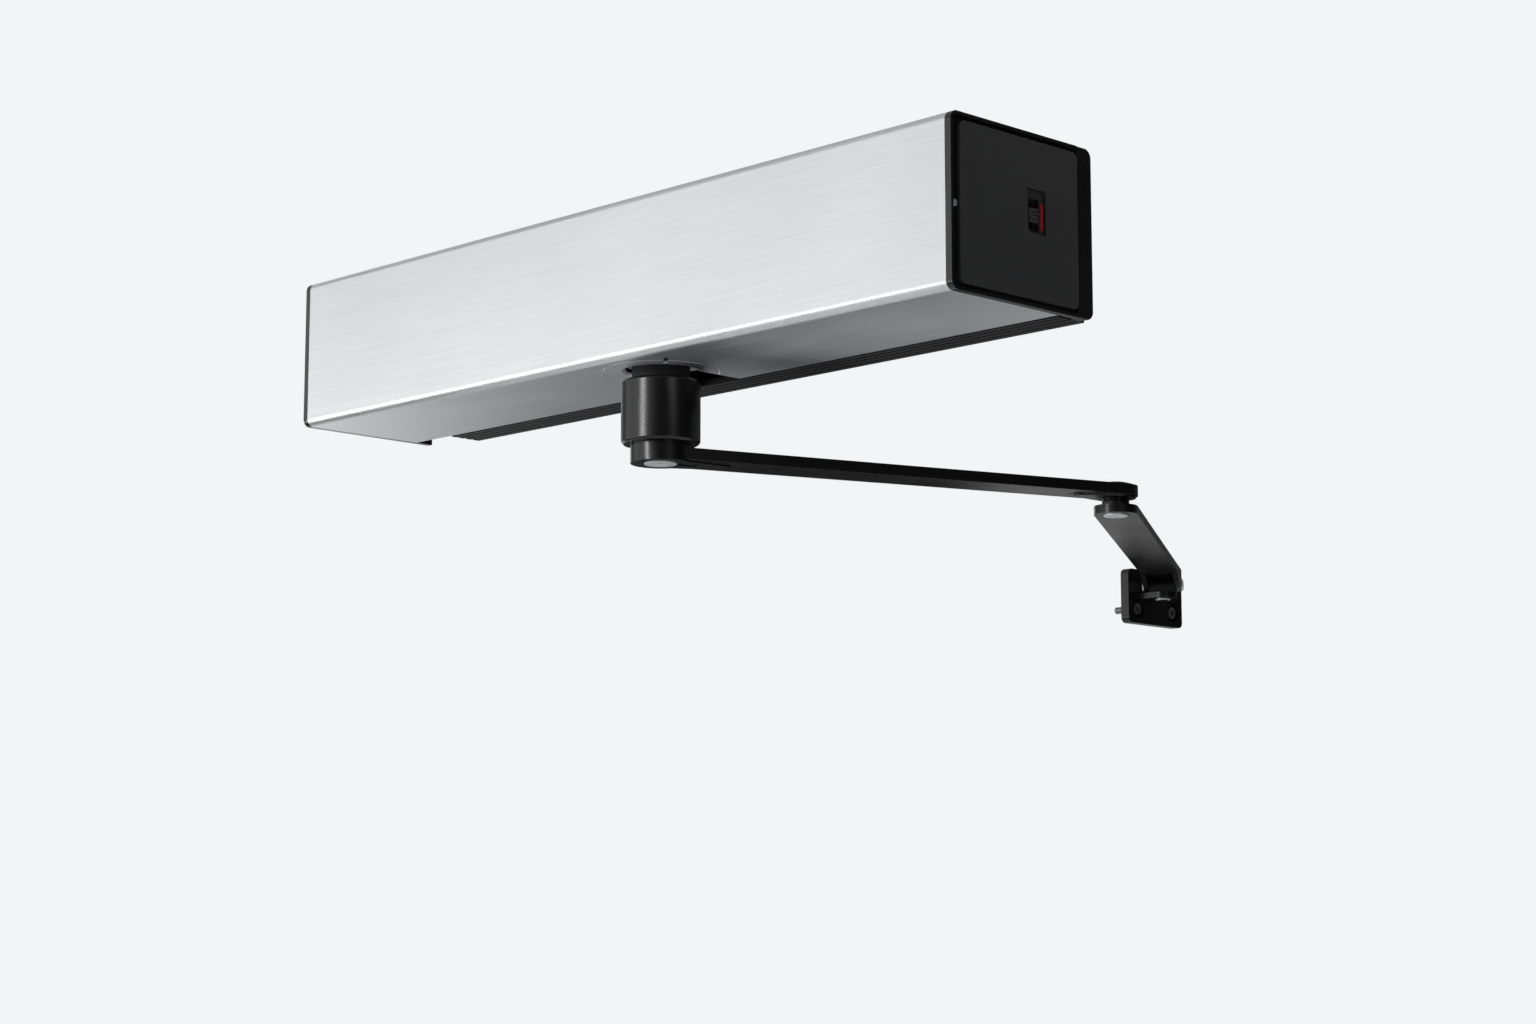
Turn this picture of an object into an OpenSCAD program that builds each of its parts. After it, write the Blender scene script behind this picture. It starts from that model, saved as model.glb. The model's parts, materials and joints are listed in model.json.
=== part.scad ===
// Surface-mounted door closer: a spring and motor drive in a long box,
// with a folding two-bar arm and a shoe for the door leaf.
// Origin: centre of the wall fixing pattern on the rear face of the base.
// X runs along the box, Y into the wall, Z up. Millimetres.

/* [Box] */
// Length of the brushed cover, without its end caps
cover_l = 668; // [640:1:860]
// Height of the box
body_h = 114; // [106:1:140]
// Depth of the box, from the wall to the front
body_d = 137; // [134:1:170]
// Depth of the cover's underside, from the front
underside_d = 107; // [100:1:112]
// Sheet thickness of the cover
cover_wall = 2; // [1.5:0.1:3]
// Outer radius of the cover's two front edges
edge_r = 6; // [4:0.5:9]
// Depth of the base that shows behind the cover
band_t = 14; // [10:1:20]
// Gap between the cover and the base
seam = 0.5; // [0.3:0.1:1]

/* [End caps] */
// Thickness of an end cap outside the cover
rim_t = 5; // [4:0.5:8]
// Wall of the cap's raised rim
rim_wall = 2.2; // [1.6:0.1:3]
// Floor of the groove inside the rim
cap_floor_t = 2; // [1.6:0.1:3]
// Length of the spigot that goes into the cover
spigot_l = 9; // [6:1:14]
// Groove between the rim and the panel at the front
panel_front_gap = 8.4; // [6:0.2:12]
// Groove between the rim and the panel, top and bottom
panel_side_gap = 5; // [4:0.2:8]
// Corner radius of the panel
panel_r = 5; // [2:0.5:10]

/* [Programme selector] */
// Width of the selector window
window_w = 18; // [14:1:24]
// Height of the selector window
window_h = 29; // [26:1:40]
// Window centre, from the front of the box
window_front = 81.5; // [60:0.5:95]
// Window centre, above the middle of the box
window_up = 5.5; // [0:0.5:12]
// Travel of the knob either way from the middle
knob_travel = 5.5; // [4:0.5:6]

/* [Base] */
// Back wall of the base
base_wall = 4; // [3:0.5:6]
// How far the base's bottom shelf stops short of the cover's left end
base_short = 41.5; // [30:0.5:60]
// Height of the cable gap under the base's left end
cable_gap = 9; // [8:0.5:14]
// Fixing hole distance along the box
fix_x = 500; // [420:1:540]
// Fixing hole distance across the box
fix_z = 76; // [66:1:80]
// Radius of a wall fixing hole
fix_r = 3.3; // [2.6:0.1:4.4]
// Radius of the cable bore in the grommet
cable_r = 7; // [5:0.5:9]

/* [Spindle] */
// Spindle axis, to the right of the middle
spindle_x = 18; // [10:1:40]
// Spindle axis, behind the front of the box
spindle_front = 51; // [50:0.5:60]
// Radius of the spindle
spindle_r = 12.5; // [11:0.1:13]
// Gap between the cover and the sleeve
sleeve_gap = 7; // [5:0.5:12]
// Outer radius of the sleeve
sleeve_r = 28; // [24:0.5:32]
// Length of the sleeve
sleeve_l = 45; // [35:1:60]
// Outer radius of the black collar above the sleeve
collar_r = 20.5; // [18:0.5:22]
// Outer radius of the bevelled hole in the cover
hole_r = 28; // [26:0.5:31]

/* [Arms] */
// Main arm, spindle axis to elbow axis
arm_l = 374.4; // [300:0.2:450]
// Half width of the main arm at the hub end
arm_r = 19; // [16:0.5:20]
// Half width of the main arm at the elbow
arm_end_r = 17; // [14:0.5:19]
// Thickness of the main arm's bar
arm_t = 8; // [6:0.5:10]
// Direction of the main arm at rest, from the box's length
arm_heading = 71; // [60:0.5:80]
// Radius of the arm's hub
hub_r = 21.3; // [20.5:0.1:24]
// Forearm, elbow axis to shoe axis
forearm_l = 386; // [320:1:460]
// Half width of the forearm
forearm_r = 16.5; // [15:0.5:18]
// Thickness of the forearm
forearm_t = 6.5; // [5:0.5:9]
// Direction of the forearm at rest, from the box's length
forearm_heading = 122.7; // [115:0.1:130]
// Gap that the elbow spacer fills
elbow_gap = 5.5; // [4:0.5:9]

/* [Door shoe] */
// Width of the shoe plate along the door
plate_w = 76; // [70:1:96]
// Height of the shoe plate
plate_h = 48; // [46:1:60]
// Thickness of the shoe plate
plate_t = 8.5; // [7:0.5:12]
// Corner radius of the shoe plate
plate_r = 5; // [3:0.5:8]
// Shoe axis, in front of the plate
shoe_reach = 19.5; // [19:0.5:26]
// Middle of the plate, beyond the shoe axis
plate_shift = 14; // [12:0.5:16]
// Distance between the two shoe screws
shoe_screw_gap = 48.8; // [46:0.2:60]
// Radius of a shoe screw
shoe_screw_r = 3; // [2.5:0.5:4]
// Length of the screws behind the plate
shoe_screw_out = 16; // [12:1:40]

/* [Drive] */
// Module of the reduction gears
gear_m = 1.5; // [1.25:0.25:1.5]
// Teeth of the main gear
main_n = 48; // [40:1:48]
// Teeth of the idler's small gear
small_n = 16; // [14:1:18]
// Teeth of the idler's large gear
large_n = 40; // [36:1:42]
// Teeth of the motor pinion
pinion_n = 12; // [12:1:14]
// Module of the rack
rack_m = 2; // [1.75:0.25:2]
// Teeth of the rack's pinion
rack_n = 16; // [16:1:17]
// Turns of the closing spring
spring_turns = 8; // [6:1:9]
// Radius of the spring wire
wire_r = 3.2; // [2.6:0.1:3.6]
// Length of the compressed spring at rest
spring_l = 88; // [80:1:110]

/* [Clearances] */
// Radial running clearance of a shaft
run = 0.05; // [0.02:0.01:0.1]
// Gap between pieces that move past each other
gap = 0.3; // [0.3:0.1:0.6]
// Thinning of each gear tooth, for backlash
lash = 0.12; // [0.1:0.02:0.2]

/* [Hidden] */
$fn = 64;

eps = 0.01;
front_y = -body_d;
top_z = body_h / 2;
bottom_z = -body_h / 2;
cap_x = cover_l / 2;
end_x = cap_x + rim_t;
cover_rear_y = -band_t - seam;
spindle_y = front_y + spindle_front;
base_x1 = cap_x - 3;
shelf_x0 = -cap_x + base_short;
shelf_t = 5;
shelf_d = body_d - underside_d - 3;

// Heights of the drive, counted up from the cover's underside
floor_z0 = bottom_z + 9;
floor_t = 4;
floor_z1 = floor_z0 + floor_t;
tray_z1 = floor_z0 + 32;
plate_z1 = tray_z1 + 4;
main_z0 = floor_z1 + 4;
main_z1 = main_z0 + 10;
large_z0 = main_z1 + 4;
large_z1 = large_z0 + 6;
housing_z1 = plate_z1 + 40;
bearing_w = 7;
bearing_r = 18.5;
rack_z0 = plate_z1 + 7;
rack_z1 = rack_z0 + 18;
rack_mid_z = (rack_z0 + rack_z1) / 2;
boss_r = 24;
boss_z0 = floor_z0 - 5;
wall_t = 4;
lid_screw_r = 2.5;
cap_screw_r = 1;
cap_screw_y = front_y + 5.2;
cap_screw_z = -1.7;

// Gear centres
idler_x = spindle_x - gear_m * (main_n + small_n) / 2;
motor_x = idler_x - gear_m * (large_n + pinion_n) / 2;
tray_x0 = motor_x - 31;
tray_x1 = spindle_x + 44;
tray_y0 = spindle_y - 44;
tray_y1 = spindle_y + 44;
housing_x0 = spindle_x - 42;
housing_x1 = tray_x1;
housing_y0 = spindle_y - 32;
housing_y1 = spindle_y + 32;

// Motor
motor_r = 27;
motor_wall = 2.5;
magnet_t = 4;
motor_z0 = plate_z1;
motor_z1 = top_z - 19;
bell_t = 5;
shaft_r = 4;

// Rack and spring
rack_r = rack_m * rack_n / 2;
rack_back_y = spindle_y - rack_r - 7;
rack_x0 = spindle_x - 16;
tube_r = 27;
tube_wall = 3;
flange_t = 6;
plunger_x0 = spindle_x + 100;
plunger_t = 8;
spring_x0 = plunger_x0 + plunger_t;
spring_x1 = spring_x0 + spring_l;
spring_r = 22.5;
seat_t = 4;
plug_t = 8;
plug_x0 = spring_x1 + seat_t + 8;
tube_x0 = housing_x1 + flange_t;

// Control unit and power supply
control_x0 = plug_x0 + plug_t + 20;
control_x1 = max(control_x0 + 60, cap_x - 16);
control_y0 = front_y + 9;
unit_y1 = -38;
unit_z = body_h / 2 - 11;
supply_x0 = shelf_x0 + 30;
supply_x1 = tray_x0 - 26;
supply_y0 = control_y0 + 4;
supply_wall = 1.5;
grommet_x = supply_x0 - 12;

// Arms
sleeve_z1 = bottom_z - sleeve_gap;
sleeve_z0 = sleeve_z1 - sleeve_l;
arm_z1 = sleeve_z0 - 4;
arm_z0 = arm_z1 - arm_t;
pad_t = 1.5;
pad_z = arm_z0 - pad_t;
stub_r = 9;
stub_z0 = pad_z + 5;
arm_head_r = 11.6;
arm_screw_r = 5;
elbow_screw_r = 3;
pin_r = 6;
bush_r = pin_r + 2.2;
forearm_z1 = pad_z - elbow_gap - gap;
forearm_z0 = forearm_z1 - forearm_t;
elbow_sink = 1.6;
elbow_x = spindle_x + arm_l * cos(arm_heading);
elbow_y = spindle_y + arm_l * sin(arm_heading);
shoe_x = elbow_x + forearm_l * cos(forearm_heading);
shoe_y = elbow_y + forearm_l * sin(forearm_heading);
knuckle_z = forearm_z0 - 7;
knuckle_r = 6;
cross_r = 3;
cross_head_r = 5;
ear_t = 4.5;
ear_in = forearm_r - ear_t - gap;
ear_l = 45;
stem_r = 4;
lug_z1 = knuckle_z - knuckle_r - 2 * gap;
lug_t = 5;
lug_r = 12;
plate_z_top = forearm_z1 + 1.8;
plate_x1 = shoe_x - shoe_reach;
plate_x0 = plate_x1 - plate_t;
plate_y = shoe_y + plate_shift;
shoe_screw_z = plate_z_top - plate_h + 13;
recess_r = 8.2;
recess_t = 5;
shoe_neck_r = shoe_screw_r + 0.3;
shoe_screw_ys = [plate_y - shoe_screw_gap / 2, plate_y + shoe_screw_gap / 2];

// ---------- helpers ----------

module block(x0, x1, y0, y1, z0, z1) {
    translate([x0, y0, z0]) cube([x1 - x0, y1 - y0, z1 - z0]);
}

module rod_x(x0, x1, y, z, r) {
    translate([x0, y, z]) rotate([0, 90, 0]) cylinder(r = r, h = x1 - x0);
}

module rod_y(x, y0, y1, z, r) {
    translate([x, y0, z]) rotate([-90, 0, 0]) cylinder(r = r, h = y1 - y0);
}

module rod_z(x, y, z0, z1, r) {
    translate([x, y, z0]) cylinder(r = r, h = z1 - z0);
}

// Extrudes an outline drawn in Y and Z along X
module along_x(x0, x1) {
    translate([x0, 0, 0]) rotate([90, 0, 90]) linear_extrude(x1 - x0) children();
}

module rounded_rect(y0, y1, z0, z1, r) {
    translate([y0 + r, z0]) square([y1 - y0 - 2 * r, z1 - z0]);
    translate([y0, z0 + r]) square([y1 - y0, z1 - z0 - 2 * r]);
    for (y = [y0 + r, y1 - r], z = [z0 + r, z1 - r]) translate([y, z]) circle(r);
}

// Rectangle with round corners only at the low Y side
module front_rounded(y0, y1, z0, z1, r) {
    translate([y0 + r, z0]) square([y1 - y0 - r, z1 - z0]);
    translate([y0, z0 + r]) square([r + eps, z1 - z0 - 2 * r]);
    for (z = [z0 + r, z1 - r]) translate([y0 + r, z]) circle(r);
}

// Bar with two round ends of different radius, from the origin along X
module tapered_bar(l, r1, r2) {
    a = acos((r1 - r2) / l);
    circle(r1);
    translate([l, 0]) circle(r2);
    polygon([
        [r1 * cos(a), -r1 * sin(a)], [l + r2 * cos(a), -r2 * sin(a)],
        [l + r2 * cos(a), r2 * sin(a)], [r1 * cos(a), r1 * sin(a)]
    ]);
}

module ring_z(x, y, z0, z1, r_out, r_in) {
    difference() {
        rod_z(x, y, z0, z1, r_out);
        rod_z(x, y, z0 - 1, z1 + 1, r_in);
    }
}

module hex_z(x, y, z0, z1, r) {
    translate([x, y, z0]) cylinder(r = r, h = z1 - z0, $fn = 6);
}

function involute(a) = tan(a) - a * PI / 180;
pressure = 20;
// Half the angle of a tooth at radius r, in degrees
function half_tooth(n, rp, r) =
    let (rb = rp * cos(pressure), a = acos(min(1, rb / max(r, rb))))
    (PI / (2 * n) - lash / (2 * rp) + involute(pressure) - involute(a)) * 180 / PI;
function polar(r, a) = [r * cos(a), r * sin(a)];

// Involute spur gear; turn is the angle of the first tooth
module gear(m, n, turn) {
    rp = m * n / 2;
    ra = rp + m;
    rf = rp - 1.25 * m;
    r0 = max(rf, rp * cos(pressure));
    radii = [rf, for (i = [0:5]) r0 + (ra - r0) * i / 5];
    polygon([
        for (k = [0:n - 1])
            let (c = turn + 360 * k / n)
            each concat(
                [for (i = [0:6]) polar(radii[i], c - half_tooth(n, rp, radii[i]))],
                [for (i = [6:-1:0]) polar(radii[i], c + half_tooth(n, rp, radii[i]))]
            )
    ]);
}

function gear_root(m, n) = m * n / 2 - 1.25 * m;

// Six holes that lighten a gear's web, from its hub to its tooth roots
module web_holes(hub, root, z0, z1) {
    r = (root - hub) / 2 - 3;
    for (a = [30:60:330])
        rotate([0, 0, a]) translate([(hub + root) / 2, 0, z0]) cylinder(r = r, h = z1 - z0);
}

// Things that stand along the arm at rest
module at_arm(s) {
    translate([spindle_x, spindle_y, 0]) rotate([0, 0, arm_heading]) translate([s, 0, 0]) children();
}

module at_forearm(s) {
    translate([elbow_x, elbow_y, 0]) rotate([0, 0, forearm_heading]) translate([s, 0, 0]) children();
}

// ---------- box ----------

module base_frame() {
    groove_w = 2;
    groove_t = 1.2;
    color([0.07, 0.07, 0.075]) difference() {
        union() {
            along_x(-base_x1, base_x1) {
                translate([-base_wall, bottom_z + cable_gap]) square([base_wall, body_h - cable_gap]);
                translate([-band_t, top_z - shelf_t]) square([band_t, shelf_t]);
                translate([-body_d + underside_d, top_z - shelf_t - 1])
                    square([body_d - underside_d, shelf_t - cover_wall + 0.5]);
            }
            along_x(shelf_x0, base_x1) difference() {
                union() {
                    translate([-base_wall, bottom_z]) square([base_wall, cable_gap + 1]);
                    translate([-shelf_d, bottom_z]) square([shelf_d, shelf_t]);
                }
                for (i = [0:2])
                    translate([-shelf_d + 5 + 7 * i, bottom_z - 1]) square([groove_w, groove_t + 1]);
            }
        }
        for (x = [-fix_x / 2, fix_x / 2], z = [-fix_z / 2, fix_z / 2])
            rod_y(x, -base_wall - 1, 1, z, fix_r);
        rod_y(grommet_x, -base_wall - 1, 1, 0, cable_r + 3);
    }
}

module base_end_outline() {
    translate([-band_t, bottom_z]) square([band_t - edge_r, body_h]);
    translate([-edge_r - eps, bottom_z + edge_r]) square([edge_r + eps, body_h - 2 * edge_r]);
    for (z = [bottom_z + edge_r, top_z - edge_r]) translate([-edge_r, z]) circle(edge_r);
}

module base_end_right() {
    color([0.05, 0.05, 0.055]) along_x(base_x1, end_x) base_end_outline();
}

module base_end_left() {
    color([0.05, 0.05, 0.055]) along_x(-end_x, -base_x1) difference() {
        base_end_outline();
        translate([-body_d, bottom_z - 1]) square([2 * body_d, cable_gap + 1]);
    }
}

module cover() {
    inner_r = edge_r - cover_wall;
    bevel = 3;
    keyhole_w = 2 * collar_r + 1.6;
    ring_r = 41.4;
    slot_r = 1.5;
    slot_from = 34;
    slot_to = 48;
    rear_y = front_y + underside_d;
    color([0.78, 0.79, 0.80]) difference() {
        along_x(-cap_x, cap_x) difference() {
            front_rounded(front_y, cover_rear_y, bottom_z, top_z, edge_r);
            front_rounded(front_y + cover_wall, 1, bottom_z + cover_wall, top_z - cover_wall, inner_r);
            translate([rear_y, bottom_z - 1]) square([body_d, cover_wall + 2]);
        }
        // Keyhole: a bevelled round hole with a slot to the rear edge
        translate([spindle_x, spindle_y, bottom_z - eps])
            cylinder(r1 = hole_r, r2 = hole_r - bevel, h = cover_wall + 2 * eps);
        block(spindle_x - keyhole_w / 2, spindle_x + keyhole_w / 2, spindle_y, rear_y + 1,
              bottom_z - 1, bottom_z + cover_wall + 1);
        // Pressed ring around the hole
        ring_z(spindle_x, spindle_y, bottom_z - 1, bottom_z + 0.4, ring_r, ring_r - 0.6);
        // Short slot to the front right of the spindle
        translate([spindle_x, spindle_y, bottom_z - 1]) rotate([0, 0, -38]) {
            translate([slot_from, -slot_r, 0]) cube([slot_to - slot_from, 2 * slot_r, cover_wall + 2]);
            for (s = [slot_from, slot_to]) translate([s, 0, 0]) cylinder(r = slot_r, h = cover_wall + 2);
        }
    }
}

module cap_outline() {
    front_rounded(front_y, cover_rear_y, bottom_z, top_z, edge_r);
}

// End cap and panel are drawn for the right end; the left end is their mirror image
module end_cap(window) {
    fit = 0.1;
    color([0.05, 0.05, 0.055]) difference() {
        union() {
            along_x(cap_x, cap_x + cap_floor_t) cap_outline();
            along_x(cap_x, end_x) difference() {
                cap_outline();
                front_rounded(front_y + rim_wall, 1, bottom_z + rim_wall, top_z - rim_wall,
                              edge_r - rim_wall);
            }
            along_x(cap_x - spigot_l, cap_x + eps) difference() {
                front_rounded(front_y + cover_wall + fit, -shelf_d - 9, bottom_z + cover_wall + fit,
                              top_z - cover_wall - fit, edge_r - cover_wall - fit);
                front_rounded(front_y + 2 * cover_wall + 1, 1, bottom_z + 2 * cover_wall + 1,
                              top_z - 2 * cover_wall - 1, 1);
            }
        }
        if (window) along_x(cap_x - 1, end_x + 1) window_outline(gap / 2);
        screw_seat();
    }
}

module screw_seat() {
    rod_x(cap_x - 1, end_x + 1, cap_screw_y, cap_screw_z, cap_screw_r);
}

module window_outline(grow) {
    y = front_y + window_front;
    rounded_rect(y - window_w / 2 - grow, y + window_w / 2 + grow,
                 window_up - window_h / 2 - grow, window_up + window_h / 2 + grow, 2);
}

module end_panel(window) {
    color([0.15, 0.155, 0.16]) along_x(cap_x + cap_floor_t, end_x) difference() {
        rounded_rect(front_y + panel_front_gap, cover_rear_y, bottom_z + panel_side_gap,
                     top_z - panel_side_gap, panel_r);
        if (window) window_outline(gap / 2);
    }
}

module end_cap_right() { end_cap(true); }

module end_cap_left() { mirror([1, 0, 0]) end_cap(false); }

module end_panel_right() { end_panel(true); }

module end_panel_left() { mirror([1, 0, 0]) end_panel(false); }

module cap_screws() {
    head_r = 2.2;
    head_t = 1.6;
    head_x = cap_x + cap_floor_t;
    color([0.8, 0.8, 0.82]) for (side = [0, 1]) mirror([side, 0, 0]) {
        rod_x(cap_x - 1, head_x, cap_screw_y, cap_screw_z, cap_screw_r);
        difference() {
            rod_x(head_x, head_x + head_t, cap_screw_y, cap_screw_z, head_r);
            block(head_x + head_t - 0.6, end_x + 1, cap_screw_y - 3, cap_screw_y + 3,
                  cap_screw_z - 0.4, cap_screw_z + 0.4);
        }
    }
}

// ---------- programme selector ----------

knob_h = 9;
knob_w = window_w - 9;
well_h = knob_h + 2 * knob_travel + 1;
selector_y = front_y + window_front;
knob_y = selector_y - 2.5;
selector_z = window_up - 2.5;
selector_face_x = end_x - 0.6;
well_x = selector_face_x - 3;
tongue_w = 3;
tongue_h = 6;
tongue_t = 3;
lamp_y = selector_y + 5.4;
lamp_w = 2;
lamp_h = 18;

module lamp_bar(x1) {
    block(end_x - 3, x1, lamp_y - lamp_w / 2, lamp_y + lamp_w / 2,
          selector_z - lamp_h / 2, selector_z + lamp_h / 2);
}

module selector_housing() {
    slot_h = tongue_h + 2 * knob_travel + 1;
    color([0.03, 0.03, 0.035]) difference() {
        along_x(cap_x - 10, selector_face_x) window_outline(0);
        block(well_x, end_x + 1, knob_y - knob_w / 2 - gap, knob_y + knob_w / 2 + gap,
              selector_z - well_h / 2, selector_z + well_h / 2);
        block(well_x - tongue_t - 1, well_x + 1, knob_y - tongue_w / 2 - gap,
              knob_y + tongue_w / 2 + gap, selector_z - slot_h / 2, selector_z + slot_h / 2);
        lamp_bar(end_x);
    }
}

module selector_knob() {
    rib = 1;
    rib_pitch = 2.4;
    color([0.22, 0.22, 0.23]) {
        difference() {
            block(well_x + gap, end_x - 0.3, knob_y - knob_w / 2, knob_y + knob_w / 2,
                  selector_z - knob_h / 2, selector_z + knob_h / 2);
            for (i = [-1:1])
                block(end_x - 0.9, end_x, knob_y - knob_w / 2 - 1, knob_y + knob_w / 2 + 1,
                      selector_z + rib_pitch * i - rib / 2, selector_z + rib_pitch * i + rib / 2);
        }
        block(well_x - tongue_t, well_x + 1, knob_y - tongue_w / 2, knob_y + tongue_w / 2,
              selector_z - tongue_h / 2, selector_z + tongue_h / 2);
    }
}

module status_lamp() {
    color([0.85, 0.05, 0.05]) lamp_bar(end_x - 0.4);
}

// ---------- gearbox ----------

module gear_tray() {
    post_r = 5;
    color([0.55, 0.56, 0.58]) difference() {
        union() {
            difference() {
                block(tray_x0, tray_x1, tray_y0, tray_y1, floor_z0, tray_z1);
                block(tray_x0 + wall_t, tray_x1 - wall_t, tray_y0 + wall_t, tray_y1 - wall_t,
                      floor_z1, tray_z1 + 1);
            }
            rod_z(spindle_x, spindle_y, boss_z0, floor_z1, boss_r);
            rod_z(idler_x, spindle_y, floor_z1 - eps, floor_z1 + 2, 7);
            for (p = screw_places) rod_z(p[0], p[1], floor_z1 - eps, tray_z1, post_r);
        }
        rod_z(spindle_x, spindle_y, floor_z1 - bearing_w, floor_z1 + 1, bearing_r);
        rod_z(spindle_x, spindle_y, boss_z0 - 1, floor_z1, spindle_r + 1.5);
        rod_z(idler_x, spindle_y, floor_z0 + 1, floor_z1 + 3, shaft_r);
        for (p = screw_places) rod_z(p[0], p[1], floor_z1 + 2, tray_z1 + 1, lid_screw_r);
    }
}

// Six lid screws at the tray's rim
screw_places = [
    for (x = [tray_x0 + 6, idler_x - 2, tray_x1 - 6], y = [tray_y0 + 6, tray_y1 - 6]) [x, y]
];

module mid_plate() {
    color([0.6, 0.61, 0.63]) difference() {
        block(tray_x0, tray_x1, tray_y0, tray_y1, tray_z1, plate_z1);
        rod_z(spindle_x, spindle_y, tray_z1 - 1, plate_z1 + 1, spindle_r + 3);
        rod_z(idler_x, spindle_y, tray_z1 - 1, plate_z1 + 1, shaft_r);
        rod_z(motor_x, spindle_y, tray_z1 - 1, plate_z1 + 1, gear_m * (pinion_n / 2 + 1) + 1.5);
        for (p = screw_places) rod_z(p[0], p[1], tray_z1 - 1, plate_z1 + 1, lid_screw_r);
    }
}

module gearbox_screws() {
    head_r = 4;
    head_t = 4;
    socket_r = 2.2;
    color([0.75, 0.75, 0.77]) for (p = screw_places) difference() {
        union() {
            rod_z(p[0], p[1], floor_z1 + 4, plate_z1, lid_screw_r);
            rod_z(p[0], p[1], plate_z1, plate_z1 + head_t, head_r);
        }
        hex_z(p[0], p[1], plate_z1 + head_t / 2, plate_z1 + head_t + 1, socket_r);
    }
}

module standoffs() {
    post_r = 6;
    color([0.5, 0.51, 0.53]) {
        for (x = [tray_x0 + 18, tray_x1 - 18])
            rod_y(x, tray_y1, -base_wall, floor_z0 + 14, post_r);
        for (x = [housing_x0 + 12, housing_x1 - 14])
            rod_y(x, housing_y1, -base_wall, rack_mid_z, post_r);
        for (x = [supply_x0 + 24, supply_x1 - 24, control_x0 + 14, control_x1 - 14])
            rod_y(x, unit_y1, -base_wall, -18, post_r);
    }
}

module rack_opening(x0, x1) {
    block(x0, x1, rack_back_y - gap, spindle_y - rack_r + rack_m + gap, rack_z0 - gap, rack_z1 + gap);
}

module upper_housing() {
    top_t = 8;
    color([0.55, 0.56, 0.58]) difference() {
        block(housing_x0, housing_x1, housing_y0, housing_y1, plate_z1, housing_z1);
        block(housing_x0 + wall_t, housing_x1 - wall_t, housing_y0 + wall_t, housing_y1 - wall_t,
              plate_z1 - 1, housing_z1 - top_t);
        rod_z(spindle_x, spindle_y, housing_z1 - top_t - 1, housing_z1 - 1, bearing_r);
        rod_z(spindle_x, spindle_y, housing_z1 - top_t, housing_z1 + 1, spindle_r + 1.5);
        rack_opening(housing_x0 - 1, housing_x0 + wall_t + 1);
        rack_opening(housing_x1 - wall_t - 1, housing_x1 + 1);
    }
}

module bearing(z0) {
    color([0.7, 0.71, 0.73]) difference() {
        rod_z(spindle_x, spindle_y, z0, z0 + bearing_w, bearing_r);
        rod_z(spindle_x, spindle_y, z0 - 1, z0 + bearing_w + 1, spindle_r + run);
        for (z = [z0 - 1, z0 + bearing_w - 0.6])
            ring_z(spindle_x, spindle_y, z, z + 1.6, 17, 14.2);
    }
}

module lower_bearing() { bearing(floor_z1 - bearing_w); }

module upper_bearing() { bearing(housing_z1 - 8); }

module seal_collar() {
    color([0.02, 0.02, 0.02])
        ring_z(spindle_x, spindle_y, sleeve_z1 + seam, boss_z0, collar_r, spindle_r + gap);
}

// ---------- spindle train ----------

module spindle() {
    color([0.6, 0.6, 0.62]) difference() {
        union() {
            rod_z(spindle_x, spindle_y, sleeve_z0, housing_z1 + 3, spindle_r);
            rod_z(spindle_x, spindle_y, stub_z0, sleeve_z0 + eps, stub_r);
        }
        rod_z(spindle_x, spindle_y, stub_z0 - 1, stub_z0 + 22, arm_screw_r);
        ring_z(spindle_x, spindle_y, housing_z1 + 1, housing_z1 + 1.8, spindle_r + 1, spindle_r - 1);
    }
}

module main_gear() {
    hub = spindle_r + 4;
    hub_t = 3;
    gear_t = main_z1 - main_z0;
    color([0.5, 0.46, 0.36]) translate([spindle_x, spindle_y, main_z0]) difference() {
        union() {
            linear_extrude(gear_t) gear(gear_m, main_n, 0);
            translate([0, 0, -hub_t]) cylinder(r = hub, h = hub_t + 1);
        }
        translate([0, 0, -hub_t - 1]) cylinder(r = spindle_r, h = gear_t + hub_t + 2);
        web_holes(hub, gear_root(gear_m, main_n), -1, gear_t + 1);
    }
}

module spindle_pinion() {
    color([0.5, 0.5, 0.52]) translate([spindle_x, spindle_y, rack_z0]) difference() {
        linear_extrude(rack_z1 - rack_z0) gear(rack_m, rack_n, -90);
        translate([0, 0, -1]) cylinder(r = spindle_r, h = rack_z1 - rack_z0 + 2);
    }
}

module spindle_sleeve() {
    bevel = 1.6;
    color([0.05, 0.05, 0.055]) translate([spindle_x, spindle_y, 0]) rotate_extrude() polygon([
        [spindle_r, sleeve_z0], [sleeve_r - bevel, sleeve_z0], [sleeve_r, sleeve_z0 + bevel],
        [sleeve_r, sleeve_z1 - bevel], [sleeve_r - bevel, sleeve_z1], [spindle_r, sleeve_z1]
    ]);
}

module idler_axle() {
    color([0.75, 0.75, 0.77]) rod_z(idler_x, spindle_y, floor_z0 + 1, plate_z1, shaft_r);
}

// A gap of the main gear faces the idler, so the idler starts half a tooth round
main_phase = 180 - floor(180 / (360 / main_n)) * 360 / main_n;
small_turn = 180 / small_n - main_phase * main_n / small_n;

module idler_gear() {
    hub = 9;
    small_z0 = floor_z1 + 2 + gap;
    color([0.5, 0.46, 0.36]) translate([idler_x, spindle_y, 0]) difference() {
        union() {
            translate([0, 0, small_z0]) linear_extrude(main_z1 + 1 - small_z0)
                gear(gear_m, small_n, small_turn);
            translate([0, 0, main_z1 + 1 - eps]) cylinder(r = hub, h = large_z0 - main_z1);
            translate([0, 0, large_z0]) linear_extrude(large_z1 - large_z0) gear(gear_m, large_n, 0);
            translate([0, 0, large_z1 - eps]) cylinder(r = 7, h = tray_z1 - large_z1 - gap);
        }
        translate([0, 0, floor_z0]) cylinder(r = shaft_r + run, h = 60);
        web_holes(hub, gear_root(gear_m, large_n), large_z0 - 1, large_z1 + 1);
    }
}

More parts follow.
